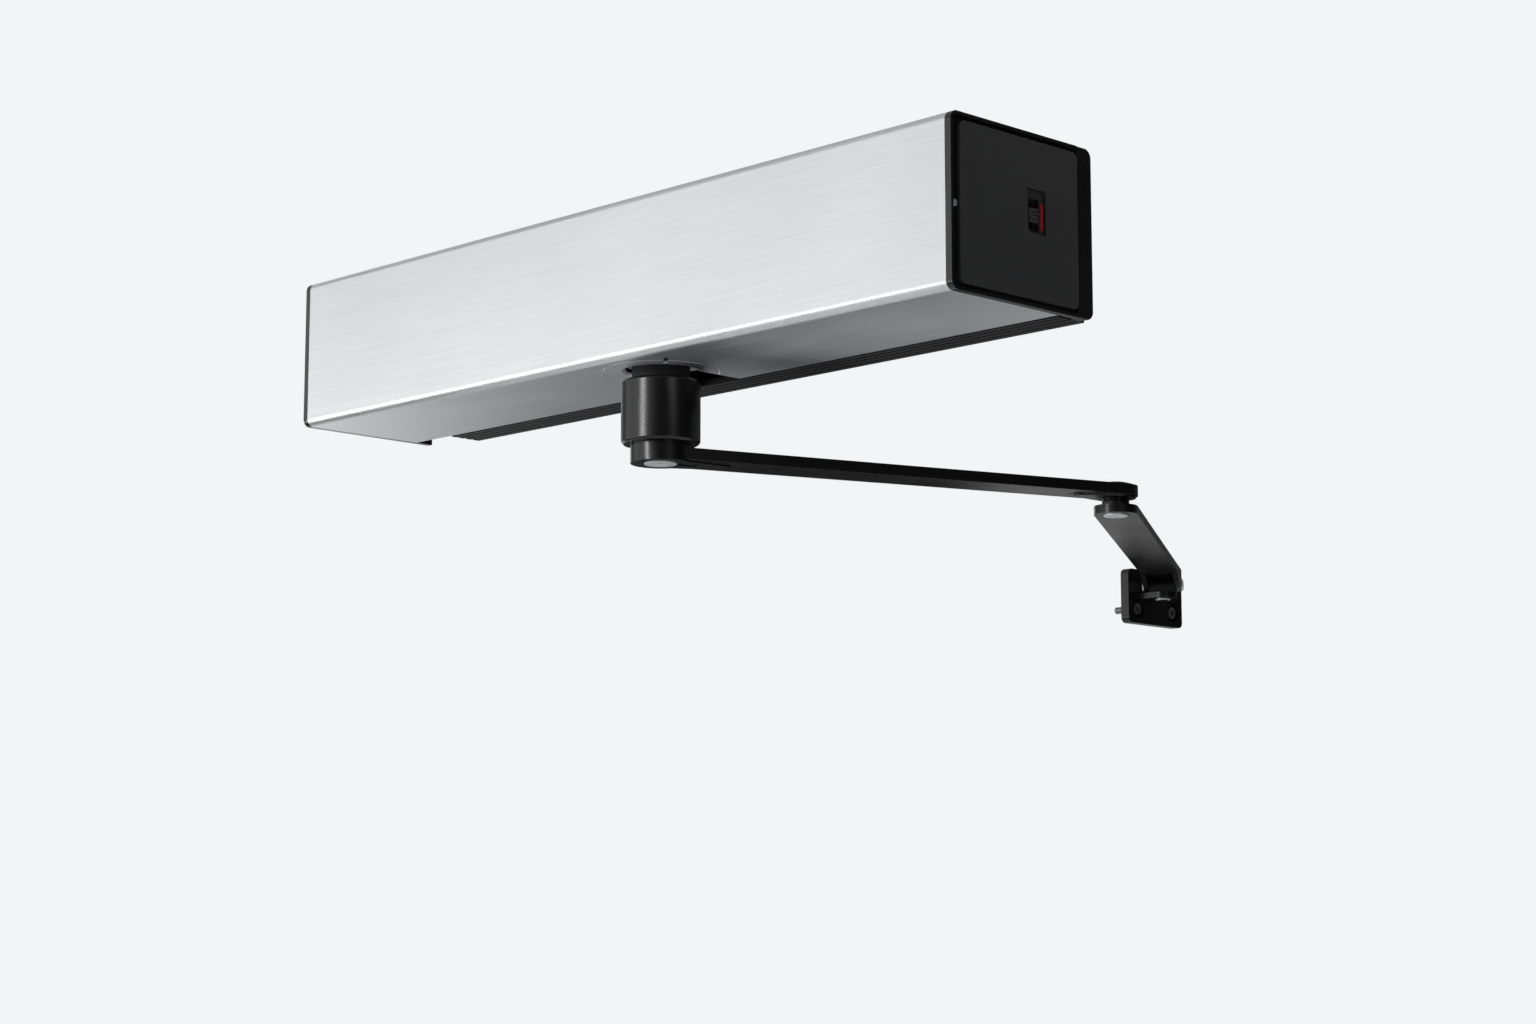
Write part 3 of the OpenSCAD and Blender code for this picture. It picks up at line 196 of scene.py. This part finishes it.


# Each wear colour is also the painted highlight on the rounded edges
FINISHES = {
    "brushed_cover": dict(
        colour=(0.66, 0.67, 0.685), roughness=0.33, metallic=1.0, grain=(14, 2200, 2200),
        spread=0.11, rough_spread=0.05, relief=0.004, blotch=5, wear_and_highlight_colour=(0.85, 0.86, 0.87),
        anisotropic=0.85,
    ),
    "gloss_black_cap": dict(
        colour=(0.012, 0.012, 0.013), roughness=0.22, grain=(1500, 1500, 1500), relief=0.003,
        wear_and_highlight_colour=(0.02, 0.02, 0.022),
    ),
    "charcoal_panel": dict(
        colour=(0.044, 0.045, 0.048), roughness=0.5, grain=(2600, 2600, 2600), relief=0.012,
        spread=0.1, wear_and_highlight_colour=(0.07, 0.07, 0.073), specular=0.4,
    ),
    "black_base": dict(
        colour=(0.01, 0.01, 0.011), roughness=0.5, grain=(1800, 1800, 1800), relief=0.008,
        wear_and_highlight_colour=(0.05, 0.05, 0.052), specular=0.25,
    ),
    "black_arm": dict(
        colour=(0.007, 0.007, 0.0075), roughness=0.27, grain=(1700, 1700, 1700), relief=0.006,
        spread=0.15, specular=0.42, wear_and_highlight_colour=(0.03, 0.03, 0.032),
    ),
    "bright_screw": dict(
        colour=(0.78, 0.79, 0.8), roughness=0.36, metallic=0.45, grain=(700, 700, 700),
        relief=0.004, wear_and_highlight_colour=(0.85, 0.85, 0.86),
    ),
    "dark_screw": dict(
        colour=(0.2, 0.2, 0.21), roughness=0.35, metallic=0.7, relief=0.006,
        wear_and_highlight_colour=(0.4, 0.4, 0.42),
    ),
    "cast_housing": dict(
        colour=(0.42, 0.43, 0.45), roughness=0.5, metallic=0.9, grain=(650, 650, 650),
        relief=0.05, spread=0.14, wear_and_highlight_colour=(0.7, 0.71, 0.73),
    ),
    "drawn_tube": dict(
        colour=(0.5, 0.51, 0.53), roughness=0.34, metallic=1.0, grain=(25, 1300, 1300),
        relief=0.008, wear_and_highlight_colour=(0.72, 0.72, 0.74),
    ),
    "machined_steel": dict(
        colour=(0.56, 0.57, 0.58), roughness=0.26, metallic=1.0, grain=(500, 500, 500),
        lines=("Z", 300), line_relief=0.006, wear_and_highlight_colour=(0.75, 0.75, 0.77),
    ),
    "sintered_gear": dict(
        colour=(0.36, 0.33, 0.27), roughness=0.42, metallic=0.9, grain=(1400, 1400, 1400),
        relief=0.02, wear_and_highlight_colour=(0.6, 0.57, 0.5),
    ),
    "spring_steel": dict(
        colour=(0.16, 0.17, 0.19), roughness=0.36, metallic=0.9, grain=(400, 400, 400),
        relief=0.01, spread=0.2, wear_and_highlight_colour=(0.4, 0.4, 0.42),
    ),
    "motor_shell": dict(
        colour=(0.2, 0.205, 0.215), roughness=0.33, metallic=0.95, grain=(900, 900, 60),
        relief=0.006, wear_and_highlight_colour=(0.5, 0.5, 0.52),
    ),
    "magnet_grey": dict(
        colour=(0.06, 0.06, 0.065), roughness=0.55, relief=0.02, wear_and_highlight_colour=(0.2, 0.2, 0.2),
    ),
    "copper_armature": dict(
        colour=(0.5, 0.21, 0.09), roughness=0.35, metallic=0.9, lines=("Z", 420),
        line_relief=0.08, wear_and_highlight_colour=(0.7, 0.35, 0.18),
    ),
    "black_plastic": dict(
        colour=(0.014, 0.014, 0.015), roughness=0.46, grain=(2200, 2200, 2200), relief=0.01,
        wear_and_highlight_colour=(0.08, 0.08, 0.085),
    ),
    "knob_plastic": dict(
        colour=(0.045, 0.045, 0.048), roughness=0.4, grain=(2600, 2600, 2600), relief=0.01,
        wear_and_highlight_colour=(0.16, 0.16, 0.17),
    ),
    "red_lamp": dict(
        colour=(0.75, 0.012, 0.015), roughness=0.15, relief=0.002, wear_and_highlight_colour=(0.9, 0.2, 0.2),
        coat=0.6,
    ),
    "rubber_black": dict(
        colour=(0.011, 0.011, 0.011), roughness=0.66, grain=(1200, 1200, 1200), relief=0.02,
        wear_and_highlight_colour=(0.06, 0.06, 0.06), specular=0.35,
    ),
    "bush_bronze": dict(
        colour=(0.5, 0.33, 0.14), roughness=0.32, metallic=1.0, lines=("Z", 500),
        line_relief=0.01, wear_and_highlight_colour=(0.7, 0.52, 0.28),
    ),
    "board_green": dict(
        colour=(0.012, 0.13, 0.055), roughness=0.35, grain=(260, 260, 420), spread=0.35,
        relief=0.02, wear_and_highlight_colour=(0.3, 0.42, 0.3), coat=0.4,
    ),
    "board_black": dict(
        colour=(0.02, 0.02, 0.022), roughness=0.5, relief=0.01, wear_and_highlight_colour=(0.1, 0.1, 0.1),
    ),
    "terminal_green": dict(
        colour=(0.03, 0.3, 0.12), roughness=0.42, relief=0.01, wear_and_highlight_colour=(0.2, 0.5, 0.3),
    ),
    "zinc_sheet": dict(
        colour=(0.58, 0.59, 0.61), roughness=0.4, metallic=1.0, grain=(120, 120, 120),
        spread=0.16, relief=0.005, blotch=60, wear_and_highlight_colour=(0.8, 0.8, 0.82),
    ),
    "iron_core": dict(
        colour=(0.14, 0.135, 0.13), roughness=0.5, metallic=0.7, lines=("Y", 330),
        line_relief=0.15, wear_and_highlight_colour=(0.35, 0.33, 0.3),
    ),
    "cream_plastic": dict(
        colour=(0.68, 0.64, 0.53), roughness=0.45, relief=0.008, spread=0.06,
        wear_and_highlight_colour=(0.85, 0.82, 0.74),
    ),
    "cable_black": dict(
        colour=(0.014, 0.014, 0.015), roughness=0.5, relief=0.01,
        wear_and_highlight_colour=(0.08, 0.08, 0.08),
    ),
}

# Plain faces are lightly rubbed; rounded edges get much more of the lighter colour, a painted edge
# highlight in a rubbed pattern
FACE_WEAR = 0.04
EDGE_HIGHLIGHT_AND_WEAR = 0.55
LOOKS = {
    slot: (finish(slot, wear_and_highlight=FACE_WEAR, **look), finish(slot + "_edge", wear_and_highlight=EDGE_HIGHLIGHT_AND_WEAR, **look))
    for slot, look in FINISHES.items()
}


# ---------- mesh helpers ----------

EDGE_SLOT = 1  # the edge finish is each piece's second material
SAME_POINT = 0.001 * MM
SAME_FACE = math.radians(0.5)
SHARP_EDGE = math.radians(32)
BEVEL_SEGMENTS = 2
FLAT_FACE_WEIGHT = 100  # makes the shading of rounded edges leave flat faces flat


def new_piece(name, mesh, body, slot):
    """A mesh object that rides on a body and takes its finish from a slot."""
    piece = bpy.data.objects.new(name, mesh)
    bpy.context.scene.collection.objects.link(piece)
    for material in LOOKS[slot]:
        mesh.materials.append(material)
    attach(piece, body)
    return piece


def smooth(mesh):
    """Smooth shading for every face."""
    for face in mesh.polygons:
        face.use_smooth = True


def rounded(node, width):
    """A copy of a CAD sub-part: flat faces made whole, sharp edges rounded to width in mm."""
    mesh = bpy.data.meshes.new(node + "_finished")
    work = bmesh.new()
    work.from_mesh(frame["nodes"][node].data)
    bmesh.ops.remove_doubles(work, verts=work.verts, dist=SAME_POINT)
    bmesh.ops.dissolve_limit(work, angle_limit=SAME_FACE, verts=work.verts, edges=work.edges)
    work.to_mesh(mesh)
    work.free()
    mesh.materials.clear()
    smooth(mesh)
    piece = new_piece(node + "_finished", mesh, BODY_OF[node], SLOT_OF[node])
    bevel = piece.modifiers.new("edges", "BEVEL")
    bevel.width = width * MM
    bevel.segments = BEVEL_SEGMENTS
    bevel.limit_method = "ANGLE"
    bevel.angle_limit = SHARP_EDGE
    # The rounded edges take the edge finish, whose lighter colour is a painted highlight
    bevel.material = EDGE_SLOT
    even = piece.modifiers.new("flat_faces", "WEIGHTED_NORMAL")
    even.weight = FLAT_FACE_WEIGHT
    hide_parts(node)
    return piece


def tube(name, points, radius, body, slot, sides=12):
    """A round wire along points, with closed ends."""
    work = bmesh.new()
    rings = []
    side = None
    for i, point in enumerate(points):
        ahead = (points[min(i + 1, len(points) - 1)] - points[max(i - 1, 0)]).normalized()
        if side is None:
            side = ahead.orthogonal().normalized()
        side = (side - ahead * side.dot(ahead)).normalized()
        other = ahead.cross(side)
        ring = []
        for k in range(sides):
            angle = 2 * math.pi * k / sides
            outward = side * math.cos(angle) + other * math.sin(angle)
            ring.append(work.verts.new(point + outward * radius))
        rings.append(ring)
    for first, second in zip(rings, rings[1:]):
        for k in range(sides):
            after = (k + 1) % sides
            work.faces.new((first[k], first[after], second[after], second[k]))
    work.faces.new(rings[0][::-1])
    work.faces.new(rings[-1])
    bmesh.ops.recalc_face_normals(work, faces=work.faces)
    mesh = bpy.data.meshes.new(name)
    work.to_mesh(mesh)
    work.free()
    smooth(mesh)
    return new_piece(name, mesh, body, slot)


# ---------- sub-parts with rounded edges ----------

# Rounding of each sub-part's edges, in millimetres
EDGE_MM = {
    "base_frame": 0.5, "base_end_right": 0.8, "base_end_left": 0.8, "cover": 0.35,
    "end_cap_right": 0.45, "end_cap_left": 0.45, "end_panel_right": 1.6, "end_panel_left": 1.6,
    "cap_screws": 0.15, "selector_housing": 0.3, "selector_knob": 0.25, "status_lamp": 0.2,
    "gear_tray": 1.0, "mid_plate": 0.5, "gearbox_screws": 0.35, "standoffs": 0.4,
    "upper_housing": 1.2, "lower_bearing": 0.4, "upper_bearing": 0.4, "seal_collar": 0.5,
    "spindle": 0.5, "main_gear": 0.25, "spindle_pinion": 0.25, "spindle_sleeve": 0.4,
    "idler_axle": 0.4, "idler_gear": 0.25, "motor_case": 0.8, "motor_end_bell": 0.8,
    "motor_magnets": 0.4, "motor_rotor": 0.3, "motor_pinion": 0.2, "encoder_cap": 0.8,
    "rack_plunger": 0.3, "spring_flange": 0.8, "spring_tube": 0.4, "spring_seat": 0.4,
    "tube_end_plug": 0.6, "tension_screw": 0.5, "control_case": 0.5, "control_board": 0.2,
    "board_parts": 0.5, "terminal_strip": 0.3, "power_supply_case": 0.4, "transformer": 0.6,
    "mains_terminal": 0.4, "cable_grommet": 0.8, "main_arm": 0.8, "arm_screw": 0.5,
    "elbow_pin": 0.4, "elbow_bush": 0.3, "elbow_screw": 0.4, "forearm": 0.8, "cross_pin": 0.4,
    "swivel_block": 0.5, "stem_clip": 0.2, "door_shoe": 0.9, "shoe_screws": 0.3,
}
PIECES = {node: rounded(node, width) for node, width in EDGE_MM.items()}


LEAN = 0.5  # lets the map across the brushing grow on level faces as well as on upright ones
FLAT_NORMAL = 0.998  # a flat face of the cover points along an axis at least this exactly


def brush_along_x(piece):
    """A map whose first axis runs across the brushing, which gives the gloss its direction."""
    mesh = piece.data
    layer = mesh.uv_layers.new(name="brushing")
    for loop in mesh.loops:
        place = mesh.vertices[loop.vertex_index].co
        layer.data[loop.index].uv = (place.z - LEAN * place.y, place.x)
    for material in LOOKS["brushed_cover"]:
        tree = material.node_tree
        tangent = add(tree, "ShaderNodeTangent", direction_type="UV_MAP", uv_map="brushing")
        tree.links.new(tangent.outputs["Tangent"], tree.nodes["Principled BSDF"].inputs["Tangent"])


def highlighted_folds(piece):
    """The rounded folds along the cover take the lighter edge finish, a painted highlight along the
    folds.
    """
    for face in piece.data.polygons:
        if max(abs(along) for along in face.normal) < FLAT_NORMAL:
            face.material_index = EDGE_SLOT


brush_along_x(PIECES["cover"])
# The cover's folds are made lighter, a painted highlight along the folds
highlighted_folds(PIECES["cover"])


# ---------- closing spring ----------


def closing_spring():
    """Round wire with closed turns at its ends; it stretches between the rack and its seat."""
    low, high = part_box("closing_spring")
    turns = 8
    steps = 36  # points in each turn
    closed_turns = 0.75  # at each end
    wire = 3.2 * MM  # radius that the coil leaves room for
    slack = 0.98  # share of that radius that the wire fills
    centre = (low + high) / 2
    coil = (high.y - low.y) / 2 - wire
    points = []
    for i in range(turns * steps + 1):
        turn = i / steps
        share = min(max((turn - closed_turns) / (turns - 2 * closed_turns), 0.0), 1.0)
        angle = 2 * math.pi * turn
        along = low.x + wire + (high.x - low.x - 2 * wire) * share
        y = centre.y + coil * math.cos(angle)
        z = centre.z + coil * math.sin(angle)
        points.append(Vector((along, y, z)))
    spring = tube("closing_spring_wire", points, wire * slack, "base", "spring_steel", sides=16)
    spring.parent = None  # it hangs between two bodies, so it rides on neither
    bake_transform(spring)
    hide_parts("closing_spring")


closing_spring()


# ---------- wiring ----------


def wiring_loom():
    """Five insulated wires, side by side, from the power supply to the control unit."""
    low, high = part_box("wiring_loom")
    wires = 5
    radius = 1.15 * MM
    bend = 5 * MM
    bend_steps = 6
    pinch = 0.95  # how far out in the loom the wires lie
    flatten = 0.5  # and how much closer they lie on their flat side
    sleeve = (high.z - low.z) / 2
    middle_z = (low.z + high.z) / 2
    back_y = high.y - sleeve
    left_x, right_x = low.x + sleeve, high.x - sleeve
    for i in range(wires):
        angle = 2 * math.pi * i / wires
        away = Vector((0, math.cos(angle), math.sin(angle))) * (sleeve - radius) * pinch
        beside = Vector((away.y * flatten, away.y * flatten, away.z))
        route = [Vector((left_x, low.y, middle_z)), Vector((left_x, back_y - bend, middle_z))]
        for step in range(1, bend_steps + 1):
            turn = math.pi / 2 * step / bend_steps
            x = left_x + bend * (1 - math.cos(turn))
            y = back_y - bend * (1 - math.sin(turn))
            route.append(Vector((x, y, middle_z)))
        route.append(Vector(((left_x + right_x) / 2, back_y, middle_z)))
        mirrored = [Vector((left_x + right_x - p.x, p.y, p.z)) for p in route[:-1]]
        route = [p + beside for p in route + mirrored[::-1]]
        wire = tube(f"loom_wire_{i + 1}", route, radius, "base", "cable_black")
        if i == 0:
            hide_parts("wiring_loom")


wiring_loom()


# ---------- stage ----------


def soft_box(name, place, target, size, power):
    """A rectangular area light that faces target: places and size in metres, power in watts."""
    light = bpy.data.lights.new(name, "AREA")
    light.shape = "RECTANGLE"
    light.size, light.size_y = size
    light.energy = power
    lamp = bpy.data.objects.new(name, light)
    lamp.location = place
    lamp.rotation_euler = (Vector(target) - Vector(place)).to_track_quat("-Z", "Y").to_euler()
    lamp.visible_camera = False
    bpy.context.scene.collection.objects.link(lamp)


def floor():
    """A plain pale floor well below the object, which gives off a little light of its own."""
    half = 3.0
    height = -2.3
    mesh = bpy.data.meshes.new("floor")
    corners = [
        (x * half, y * half, height) for x, y in ((-1, -1), (1, -1), (1, 1), (-1, 1))
    ]
    mesh.from_pydata(corners, [], [(0, 1, 2, 3)])
    paint = finish("floor_paint", (0.82, 0.825, 0.83), 0.6, spread=0.02, blotch=1.5)
    shader = paint.node_tree.nodes["Principled BSDF"]
    shader.inputs["Emission Color"].default_value = (0.97, 0.98, 1.0, 1.0)
    shader.inputs["Emission Strength"].default_value = 0.25
    mesh.materials.append(paint)
    ground = bpy.data.objects.new("floor", mesh)
    bpy.context.scene.collection.objects.link(ground)


def surroundings():
    """Near white to look at; the light on the object is a pattern of its own, by direction."""
    world = bpy.data.worlds.new("studio")
    bpy.context.scene.world = world
    world.use_nodes = True
    tree = world.node_tree
    seen = tree.nodes["Background"]
    seen.inputs["Color"].default_value = (0.90, 0.905, 0.915, 1.0)
    place = add(tree, "ShaderNodeTexCoord")
    parts = add(tree, "ShaderNodeSeparateXYZ")
    tree.links.new(place.outputs["Generated"], parts.inputs["Vector"])
    # A broad light from above, which is weaker to the right and to the back
    upward = mapped(tree, parts.outputs["Z"], 0.03, 0.5, -0.1, 0.7)
    rightward = mapped(tree, parts.outputs["X"], 1.0, 0.12, -0.1, 0.6)
    backward = mapped(tree, parts.outputs["Y"], 1.0, 0.45, 0.2, 0.7)
    broad = combined(tree, "MULTIPLY", combined(tree, "MULTIPLY", upward, rightward), backward)
    # A bright patch far to the left at the back, and a soft one straight in front
    leftward = mapped(tree, parts.outputs["X"], 1.3, 0.0, -0.82, -0.745)
    behind = mapped(tree, parts.outputs["Y"], 0.0, 1.0, 0.0, 0.4)
    ahead = mapped(tree, parts.outputs["Y"], 0.6, 0.0, -1.0, -0.78)
    patches = combined(tree, "ADD", combined(tree, "MULTIPLY", leftward, behind), ahead)
    level = combined(tree, "ADD", broad, patches)
    lit = add(tree, "ShaderNodeBackground")
    lit.inputs["Color"].default_value = (0.97, 0.985, 1.0, 1.0)
    tree.links.new(level, lit.inputs["Strength"])
    ray = add(tree, "ShaderNodeLightPath")
    both = add(tree, "ShaderNodeMixShader")
    tree.links.new(ray.outputs["Is Camera Ray"], both.inputs[0])
    tree.links.new(lit.outputs["Background"], both.inputs[1])
    tree.links.new(seen.outputs["Background"], both.inputs[2])
    tree.links.new(both.outputs["Shader"], tree.nodes["World Output"].inputs["Surface"])


def camera():
    """From the right, in front and below, so that the underside and the right end show."""
    tilt_up, turn_left = 8.517, 45.53  # degrees from level, and from looking along +Y
    eye = bpy.data.cameras.new("camera")
    eye.sensor_width = 36.0
    eye.lens = 68.4
    eye.clip_start, eye.clip_end = 0.05, 50.0
    holder = bpy.data.objects.new("camera", eye)
    holder.location = (1.5114, -1.4464, -0.459)
    holder.rotation_euler = (math.radians(90 + tilt_up), 0.0, math.radians(turn_left))
    bpy.context.scene.collection.objects.link(holder)
    bpy.context.scene.camera = holder


floor()
surroundings()
camera()
# The main light on the brushed front
soft_box("window", (-2.6, -2.5, 0.5), (0, -0.1, 0), (3.2, 2.2), 19.5)
# Lower edge of the front, and the left part of the underside
soft_box("low_front", (-0.8, -0.95, -0.3), (0, -0.1, 0), (1.3, 0.25), 4.0)
# The upright highlight on the spindle's sleeve
soft_box("strip", (-0.18, -2.1, 0.33), (0, -0.1, -0.08), (0.4, 0.6), 15)
# The right end and the arm's near side
soft_box("side", (2.6, -0.6, -0.5), (0.2, 0.2, -0.1), (1.0, 0.8), 5)
# The back and the door shoe
soft_box("back_fill", (0.4, 3.0, 1.6), (0, 0.1, 0), (1.6, 1.2), 22)
soft_box("back_low", (-1.1, 1.9, -0.5), (0.1, 0.2, -0.1), (0.5, 0.5), 0.3)
bpy.context.scene.view_settings.view_transform = "Standard"
